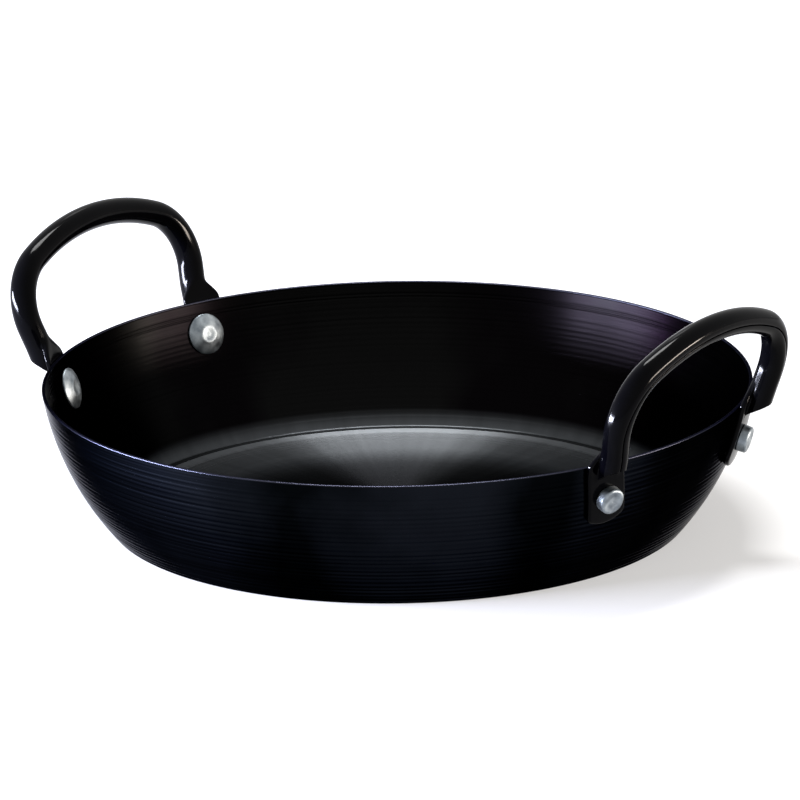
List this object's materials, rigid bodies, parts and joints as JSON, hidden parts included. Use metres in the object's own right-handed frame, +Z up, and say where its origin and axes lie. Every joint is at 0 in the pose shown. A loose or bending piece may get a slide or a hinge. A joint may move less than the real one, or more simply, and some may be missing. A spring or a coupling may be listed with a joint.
{
  "type": "two-handled frying pan",
  "caption": "Shallow round iron pan with a flat base, a curved flaring wall and riveted upright loop handles, for frying and stir-frying.",
  "frame": {"origin": "middle of the base's underside", "axes": "+Z up out of the bowl, +X towards the right handle, the two handles lie along X"},
  "size_m": [0.2659, 0.24, 0.0901],
  "materials": {
    "pan_iron": "spun iron sheet, heat-blued to blue-black, with fine turned ridges",
    "handle_paint": "gloss black paint over rolled steel strip",
    "rivet_metal": "bare plated steel, satin, scuffed by the rivet set"
  },
  "bodies": {
    "root": {"pan": "pan_iron", "handle_right": "handle_paint", "handle_left": "handle_paint", "rivet_right_rear": "rivet_metal", "rivet_right_front": "rivet_metal", "rivet_left_rear": "rivet_metal", "rivet_left_front": "rivet_metal"}
  },
  "joints": []
}
